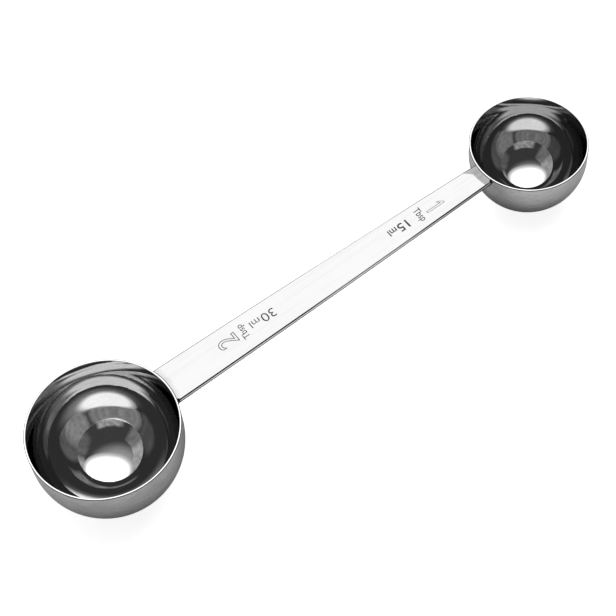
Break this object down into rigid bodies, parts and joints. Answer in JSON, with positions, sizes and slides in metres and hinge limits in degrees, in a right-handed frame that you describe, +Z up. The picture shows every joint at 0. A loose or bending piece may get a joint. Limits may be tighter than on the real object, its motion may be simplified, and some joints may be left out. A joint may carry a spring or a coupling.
{
  "type": "measuring spoon",
  "caption": "Double-ended steel measuring spoon: a deep round cup welded to each end of a flat tapered bar, mirror polished inside and satin outside.",
  "frame": {"origin": "under the middle of the whole spoon, level with the lowest point of the deeper cup, as if it stood there with its rims level", "axes": "+X along the bar from the 30 ml cup to the 15 ml cup, +Y across the bar, +Z up, out of the open mouths of both cups"},
  "size_m": [0.1944, 0.044, 0.0288],
  "materials": {
    "cup_steel": "mirror polished inside, satin outside",
    "handle_steel": "polished flat bar",
    "weld_steel": "dressed weld metal",
    "etched_mark": "dark etched numbers and units on the bar's top"
  },
  "bodies": {
    "root": {"cup_30ml": "cup_steel", "cup_15ml": "cup_steel", "handle": "handle_steel", "weld_30ml": "weld_steel", "weld_15ml": "weld_steel"}
  },
  "joints": []
}
